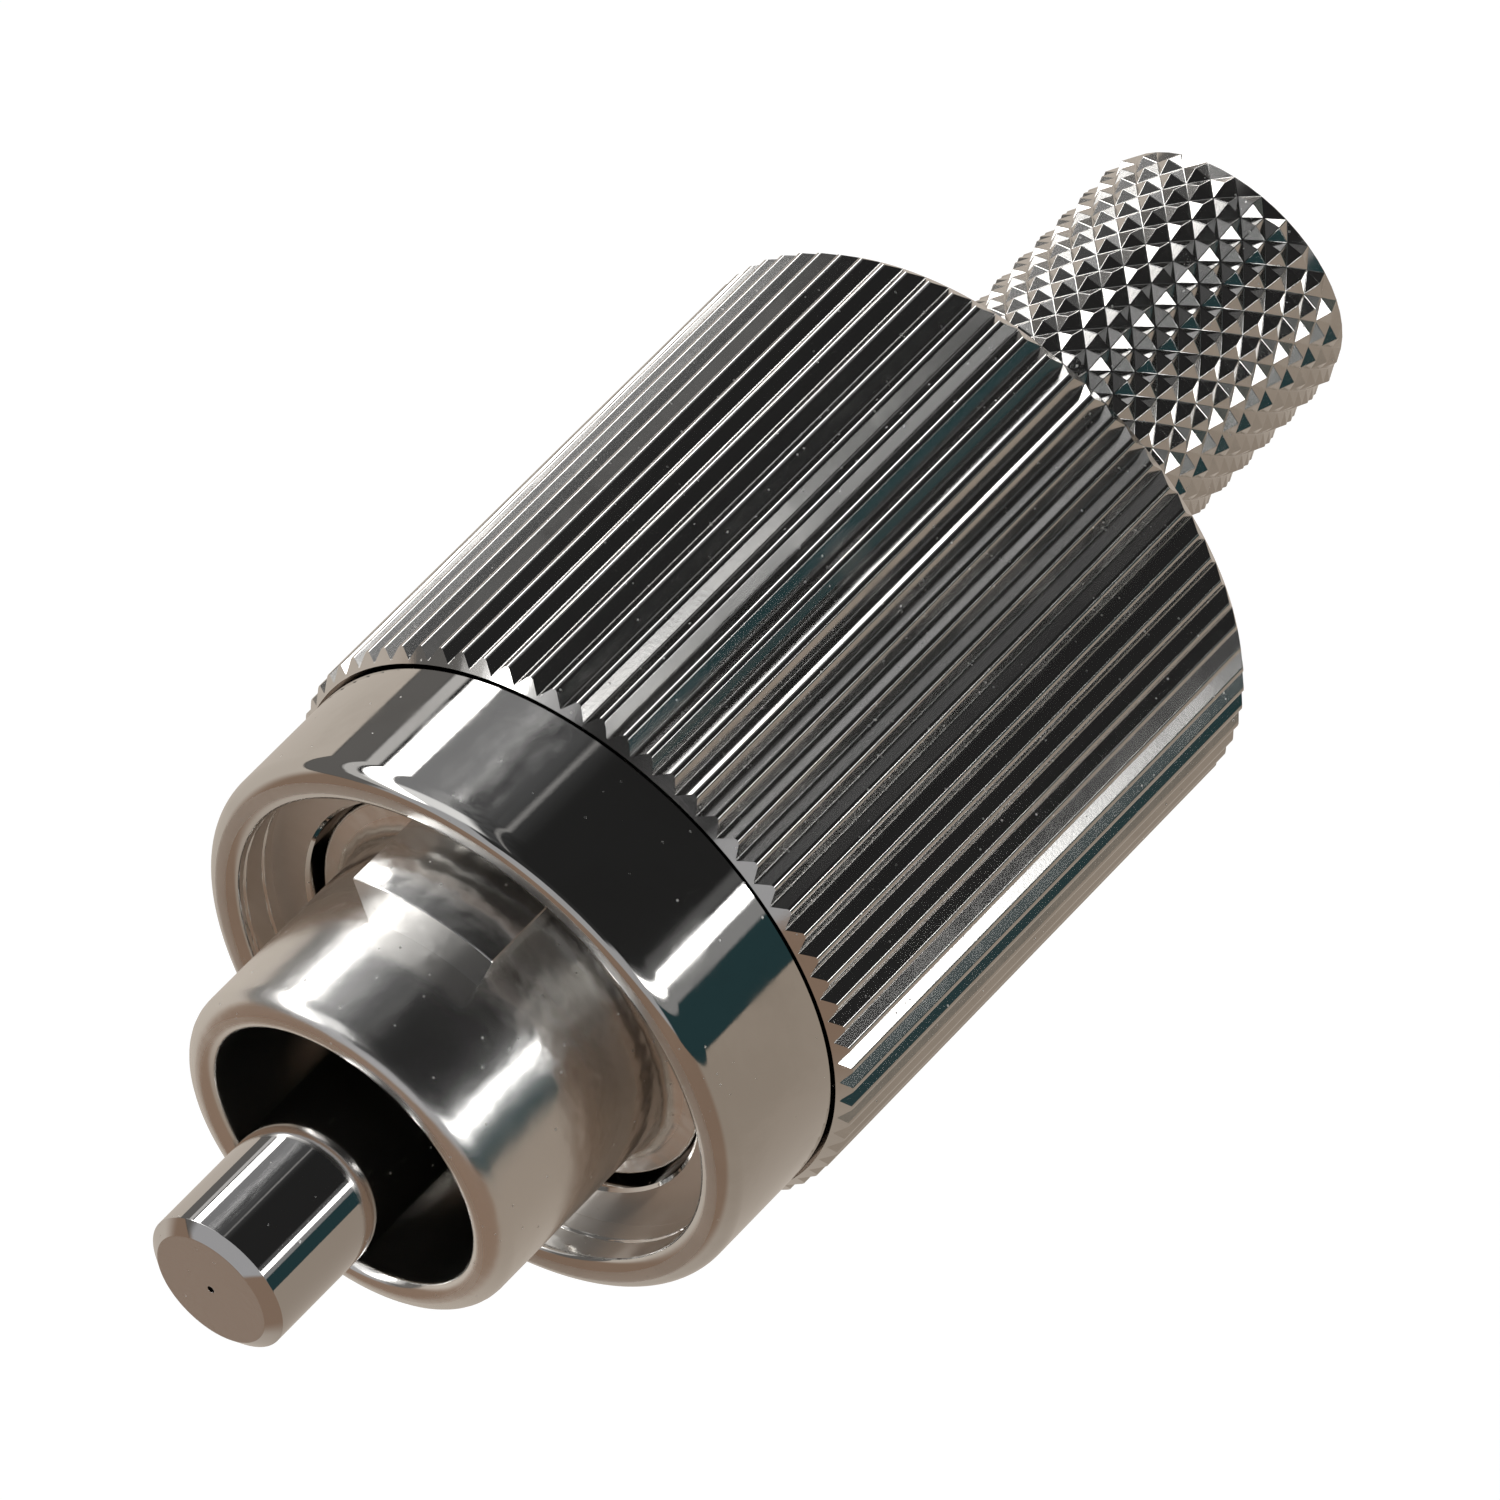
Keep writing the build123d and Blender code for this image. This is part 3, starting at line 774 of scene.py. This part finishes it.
class CONNECTOR_OT_spring(bpy.types.Operator):
    """Makes the compression spring at one fixed length; on the real connector it shortens as the ferrule is pushed in
    """

    bl_idname = "connector.spring"
    bl_label = "Make the compression spring"

    def execute(self, context):
        s = context.scene.connector_spring
        wire = s.wire / MM / 2
        front, rear = low("compression_spring").y, high("compression_spring").y
        mean = high("compression_spring").x - wire
        # A right-hand helix whose end turns lie inside the node's two ends. At each point the wire's circle lies
        # across the tangent, with its first direction away from the axis.
        coil_steps, sides = 28, 12
        along = np.linspace(0, 1, int(s.coils * coil_steps) + 1)
        turn = -2 * math.pi * s.coils * along
        radial = np.column_stack([np.cos(turn), np.zeros_like(turn), np.sin(turn)])
        path = mean * radial
        path[:, 1] = front + wire + (rear - front - 2 * wire) * along
        tangent = np.gradient(path, axis=0)
        tangent /= np.linalg.norm(tangent, axis=1, keepdims=True)
        radial -= tangent * (radial * tangent).sum(1, keepdims=True)
        radial /= np.linalg.norm(radial, axis=1, keepdims=True)
        across = np.cross(tangent, radial)
        phase = 2 * math.pi * np.arange(sides)[None, :, None] / sides
        points = path[:, None] + wire * (np.cos(phase) * radial[:, None] + np.sin(phase) * across[:, None])
        index = np.arange(len(path) * sides).reshape(len(path), sides)
        here, ahead = index[:-1], index[1:]
        quads = np.stack([here, np.roll(here, -1, axis=1), np.roll(ahead, -1, axis=1), ahead], axis=-1)
        faces = quads.reshape(-1, 4).tolist() + [index[0][::-1].tolist(), index[-1].tolist()]
        material = plated("compression_spring_steel", context.scene.connector_finish.spring, 0.2, grain=0.0000004)
        piece = new_piece(
            "compression_spring_wire", (points.reshape(-1, 3) * MM, faces), "shell", ["compression_spring"],
            material
        )
        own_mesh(piece)
        return {"FINISHED"}


class CONNECTOR_OT_inside(bpy.types.Operator):
    """Gives the pieces inside the connector their finishes"""

    bl_idname = "connector.inside"
    bl_label = "Finish the inner pieces"

    def execute(self, context):
        s = context.scene.connector_finish
        spring = plated("spring_steel_bright", s.spring, 0.2, grain=0.0000004)
        holder = plated("turned_holder", s.plate, 0.18, grain=0.0000004, turning=0.0000003)
        guide = plated("guide_tube_natural", s.guide, 0.45, grain=0.0000004)
        shader = [node for node in guide.node_tree.nodes if node.type == "BSDF_PRINCIPLED"][0]
        shader.inputs["Metallic"].default_value = 0.0
        for node, material in (
            ("retaining_clip", spring), ("thrust_washer", spring), ("ferrule_holder", holder), ("guide_tube", guide),
        ):
            slots = frame["nodes"][node].material_slots
            if not slots:
                raise RuntimeError(f"{node} has no material slot")
            for material_slot in slots:
                material_slot.material = material
        return {"FINISHED"}


# ---- the studio


def strip_mask(nodes, direction, middle, half_width, softness):
    """1 within half_width degrees of a direction round the axis, eased to 0 over the softness."""
    angle = math.radians(middle)
    product = nodes.add("ShaderNodeVectorMath", {0: direction, 1: (math.cos(angle), 0.0, math.sin(angle))},
                        operation="DOT_PRODUCT").outputs["Value"]
    distance = nodes.math("ARCCOSINE", nodes.math("MAXIMUM", nodes.math("MINIMUM", product, 1.0), -1.0))
    first, last = math.radians(half_width + softness), math.radians(max(half_width - softness, 0.0))
    return nodes.ease(distance, first, last)


# Lamps and glowing patches on the studio's wall; the patches are painted reflections that only the metal shows:
# middle, half width and edge softness in degrees, colour, brightness, and the two stations in metres between which it
# fades in
WHITE, WHOLE = (1.0, 1.0, 1.0), (2.0, 1.0)
WALL_LAMPS_AND_GLOWS = (
    ("teal glow", 9.5, 10.0, 0.6, (0.28, 0.65, 0.72), 0.07, WHOLE),
    ("grey edge glow", 22.9, 3.5, 0.8, WHITE, 0.26, WHOLE),
    ("right glow", 35.5, 2.4, 1.5, WHITE, 0.1, WHOLE),
    ("right strip lamp", 29.3, 2.6, 1.2, WHITE, 6.0, (0.1195, 0.107)),
    ("thin line lamp", 101.5, 1.0, 1.0, (1.0, 0.98, 0.96), 0.35, WHOLE),
    ("left glow", 124.0, 22.0, 12.0, (0.97, 0.98, 1.0), 0.1, WHOLE),
    ("left inner glow", 134.0, 10.5, 2.0, (0.98, 0.98, 1.0), 0.24, WHOLE),
    ("crinkled glow line", 122.0, 1.2, 1.2, WHITE, 1.0, WHOLE),
    ("front left softbox", 143.0, 30.0, 4.0, WHITE, 0.9, (-0.03, -0.06)),
    ("left strip lamp", 149.0, 5.6, 1.2, (1.0, 0.99, 0.98), 5.0, WHOLE),
    ("left side glow", 160.5, 3.2, 1.0, (1.0, 0.98, 0.96), 0.55, WHOLE),
    ("left low glow", 172.0, 8.0, 1.2, (1.0, 0.96, 0.92), 0.135, WHOLE),
)

# The soft lamp and the floor, in metres
LAMP_SIZE, LAMP_PLACE, LAMP_AIM = 0.35, (0.08, -0.12, 0.4), (-0.08, 0.13, -0.4)
FLOOR_HALF_SIZE, FLOOR_GLOW = 4.0, 0.62

# The studio wall, which glows and is seen only in the metal's reflections: its two ends in metres, and its colours
# over and under the object's level, dark above and a painted table reflection below
WALL_FRONT, WALL_REAR, WALL_COLUMNS, WALL_HUB = -0.35, 0.45, 96, 0.001
DARK = (0.019, 0.019, 0.019, 1.0)
TABLE_REFLECTION_RIGHT, TABLE_REFLECTION_LEFT = (0.34, 0.285, 0.235, 1.0), (0.56, 0.5, 0.44, 1.0)
TABLE_REFLECTION_FRONT, TABLE_REFLECTION_FRONT_REACH = (0.26, 0.18, 0.132, 1.0), (-0.04, -0.105)
# Far to the front the wall glows as a plain grey field with a dark gap, both painted into the metal's reflections:
# middle, half width and softness in degrees
FIELD, FIELD_REACH = (0.4, 0.4, 0.41, 1.0), (-0.15, -0.2)
GAP, GAP_SECTOR, GAP_REACH = (0.03, 0.03, 0.03, 1.0), (84.5, 38.5, 4.0), (-0.325, -0.305)
# The crinkles of the glowing line, which paints a crinkled highlight into the metal's reflections: noise per metre
# along the axis, strength, and the direction in which they move it
CRINKLE_SCALE, CRINKLE_STRENGTH, CRINKLE_ASIDE = 2500.0, 0.8, (-0.83, 0.0, -0.55)


class CONNECTOR_OT_studio(bpy.types.Operator):
    """Makes the camera, the pale floor, the lamps and the glowing wall of painted reflections that the metal mirrors
    """

    bl_idname = "connector.studio"
    bl_label = "Make the studio"

    def execute(self, context):
        s = context.scene.connector_studio
        scene = context.scene
        scene.view_settings.view_transform = "Standard"
        self.make_camera(scene, s)
        self.make_world(scene)
        self.make_floor(s)
        self.make_wall(s)
        self.make_lamp(s)
        return {"FINISHED"}

    def make_lamp(self, s):
        """One soft lamp over the object, which the metal doesn't mirror."""
        data = bpy.data.lights.new("soft_lamp", "AREA")
        data.size = LAMP_SIZE
        data.energy = s.lamp_power
        lamp = placed("soft_lamp", data)
        lamp.location = LAMP_PLACE
        lamp.rotation_euler = Vector(LAMP_AIM).to_track_quat("-Z", "Y").to_euler()
        lamp.visible_glossy = False
        lamp.visible_camera = False

    def make_camera(self, scene, s):
        """Camera without roll, shift or depth of field."""
        data = bpy.data.cameras.new("camera")
        data.lens = s.lens
        data.sensor_width = 36.0
        data.clip_start, data.clip_end = 0.01, 20.0
        camera = placed("camera", data)
        camera.location = s.camera_place
        camera.rotation_euler = Vector(s.camera_aim).to_track_quat("-Z", "Y").to_euler()
        scene.camera = camera

    def seen(self, nodes):
        """1 for rays from the camera, from a mirror or through glass."""
        path = nodes.add("ShaderNodeLightPath").outputs
        rays = nodes.math("MAXIMUM", path["Is Camera Ray"], path["Is Glossy Ray"])
        return nodes.math("MAXIMUM", rays, path["Is Transmission Ray"])

    def make_world(self, scene):
        """White where it is seen, and a plain soft light for the rest."""
        world = bpy.data.worlds.new("studio")
        world.use_nodes = True
        world.node_tree.nodes.clear()
        nodes = Nodes(world.node_tree)
        strength = nodes.math("ADD", nodes.math("MULTIPLY", self.seen(nodes), 0.5), 0.5)
        background = nodes.add("ShaderNodeBackground", {"Color": (1.0, 1.0, 1.0, 1.0), "Strength": strength})
        nodes.add("ShaderNodeOutputWorld", {0: background.outputs[0]})
        scene.world = world

    def make_floor(self, s):
        """Pale floor that shows white and keeps the object's shadow."""
        size, z = FLOOR_HALF_SIZE, -s.floor_depth
        mesh = bpy.data.meshes.new("floor")
        mesh.from_pydata([(-size, -size, z), (size, -size, z), (size, size, z), (-size, size, z)], [], [(0, 1, 2, 3)])
        floor = placed("floor", mesh)
        material, nodes = fresh_material("pale_floor")
        matt = nodes.add("ShaderNodeBsdfDiffuse", {"Color": (0.5, 0.5, 0.5, 1.0)})
        strength = nodes.math("MULTIPLY", self.seen(nodes), FLOOR_GLOW)
        glow = nodes.add("ShaderNodeEmission", {"Color": (1.0, 1.0, 1.0, 1.0), "Strength": strength})
        both = nodes.add("ShaderNodeAddShader", {0: matt.outputs[0], 1: glow.outputs[0]})
        nodes.add("ShaderNodeOutputMaterial", {0: both.outputs[0]})
        mesh.materials.append(material)
        # The metal mirrors the studio wall's warm lower half in place of the floor.
        floor.visible_glossy = False

    def make_wall(self, s):
        """Round glowing studio wall that only the metal mirrors, so its colours are painted reflections: dark above,
        a painted table reflection below, lamps and glowing patches on it.
        """
        radius, columns = s.wall_radius, WALL_COLUMNS
        angles = np.linspace(0, 2 * math.pi, columns, endpoint=False)
        rings = [(WALL_HUB, WALL_FRONT), (radius, WALL_FRONT), (radius, WALL_REAR), (WALL_HUB, WALL_REAR)]
        vertices = np.concatenate([
            np.column_stack([r * np.cos(angles), np.full(columns, y), r * np.sin(angles)]) for r, y in rings
        ])
        index = np.arange(len(rings) * columns).reshape(len(rings), columns)
        faces = np.stack([index[:-1], np.roll(index[:-1], -1, axis=1), np.roll(index[1:], -1, axis=1), index[1:]], -1)
        mesh = bpy.data.meshes.new("studio_wall")
        mesh.from_pydata(vertices.tolist(), [], faces.reshape(-1, 4).tolist())
        wall = placed("studio_wall", mesh)
        for ray in ("camera", "diffuse", "shadow", "volume_scatter"):
            setattr(wall, "visible_" + ray, False)
        material, nodes = fresh_material("studio_wall")
        place = nodes.add("ShaderNodeTexCoord").outputs["Object"]
        parts = nodes.add("ShaderNodeSeparateXYZ", {0: place}).outputs
        flat = nodes.add("ShaderNodeCombineXYZ", {0: parts[0], 2: parts[2]}).outputs[0]
        direction = nodes.add("ShaderNodeVectorMath", {0: flat}, operation="NORMALIZE").outputs[0]
        # The painted table reflection under the object: warmer to the front and to the right, paler to the left.
        side = nodes.ease(parts[0], radius, -radius)
        table_reflection = nodes.blend(side, TABLE_REFLECTION_RIGHT, TABLE_REFLECTION_LEFT)
        table_reflection = nodes.blend(nodes.ease(parts[1], *TABLE_REFLECTION_FRONT_REACH), table_reflection, TABLE_REFLECTION_FRONT)
        shade = nodes.blend(nodes.ease(parts[2], -0.004, 0.002), table_reflection, DARK)
        rough = nodes.noise(place, 60.0, 4.0)
        # Crinkles move the glowing line of the painted crinkled highlight sideways, by a noise along the axis.
        crinkle = nodes.add(
            "ShaderNodeTexNoise", {"W": parts[1], "Scale": CRINKLE_SCALE, "Detail": 3.0}, noise_dimensions="1D"
        ).outputs[0]
        aside = nodes.math("MULTIPLY", nodes.math("SUBTRACT", crinkle, 0.5), CRINKLE_STRENGTH)
        moved = nodes.add("ShaderNodeVectorMath", {0: CRINKLE_ASIDE}, operation="SCALE")
        nodes.put(aside, moved.inputs["Scale"])
        bent = nodes.add("ShaderNodeVectorMath", {0: direction, 1: moved.outputs[0]}).outputs[0]
        bent = nodes.add("ShaderNodeVectorMath", {0: bent}, operation="NORMALIZE").outputs[0]
        for name, middle, half_width, softness, tint, level, reach in WALL_LAMPS_AND_GLOWS:
            mask = strip_mask(nodes, bent if name == "crinkled glow line" else direction, middle, half_width, softness)
            mask = nodes.math("MULTIPLY", mask, nodes.ease(parts[1], *reach))
            if name == "left glow":
                mask = nodes.math("MULTIPLY", mask, nodes.ease(rough, 0.3, 0.6, 0.5, 1.0))
            shade = nodes.blend(mask, shade, tuple(level * part for part in tint) + (1.0,))
        # Far to the front: the painted grey field and its painted dark gap, seen only in the metal's reflections
        plain = nodes.blend(nodes.ease(parts[2], -0.004, 0.02), table_reflection, FIELD)
        gap = nodes.math("MULTIPLY", strip_mask(nodes, direction, *GAP_SECTOR), nodes.ease(parts[1], *GAP_REACH))
        plain = nodes.blend(gap, plain, GAP)
        shade = nodes.blend(nodes.ease(parts[1], *FIELD_REACH), shade, plain)
        glow = nodes.add("ShaderNodeEmission", {"Color": shade, "Strength": 1.0})
        nodes.add("ShaderNodeOutputMaterial", {0: glow.outputs[0]})
        mesh.materials.append(material)


class CONNECTOR_PT_panel(bpy.types.Panel):
    """Lists the connector's pieces in the sidebar"""

    bl_idname = "CONNECTOR_PT_panel"
    bl_label = "Ferrule connector"
    bl_space_type = "VIEW_3D"
    bl_region_type = "UI"
    bl_category = "Connector"

    def draw(self, context):
        for operator, name, group in PIECES:
            self.layout.operator(operator.bl_idname)
            for key in group.__annotations__:
                self.layout.prop(getattr(context.scene, name), key)


# Each operator with its settings: the name they have on the scene, and their class
PIECES = (
    (CONNECTOR_OT_ferrule, "connector_ferrule", FerruleSettings),
    (CONNECTOR_OT_frame, "connector_frame", FrameSettings),
    (CONNECTOR_OT_ring, "connector_ring", RingSettings),
    (CONNECTOR_OT_grip, "connector_grip", GripSettings),
    (CONNECTOR_OT_barrel, "connector_barrel", BarrelSettings),
    (CONNECTOR_OT_spring, "connector_spring", SpringSettings),
    (CONNECTOR_OT_inside, "connector_finish", FinishSettings),
    (CONNECTOR_OT_studio, "connector_studio", StudioSettings),
)


def register():
    """Registers the settings, operators and panel."""
    for operator, name, group in PIECES:
        bpy.utils.register_class(group)
        setattr(bpy.types.Scene, name, bpy.props.PointerProperty(type=group))
        bpy.utils.register_class(operator)
    bpy.utils.register_class(CONNECTOR_PT_panel)


def unregister():
    """Takes the classes out again."""
    bpy.utils.unregister_class(CONNECTOR_PT_panel)
    for operator, name, group in reversed(PIECES):
        bpy.utils.unregister_class(operator)
        delattr(bpy.types.Scene, name)
        bpy.utils.unregister_class(group)


def main():
    """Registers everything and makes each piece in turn."""
    register()
    for make_group in (smudge_group, speck_group, turning_group, grain_group, dent_group):
        make_group()
    bpy.ops.connector.studio()
    bpy.ops.connector.ferrule()
    bpy.ops.connector.frame()
    bpy.ops.connector.ring()
    bpy.ops.connector.grip()
    bpy.ops.connector.barrel()
    bpy.ops.connector.spring()
    bpy.ops.connector.inside()


if __name__ == "__main__":
    main()
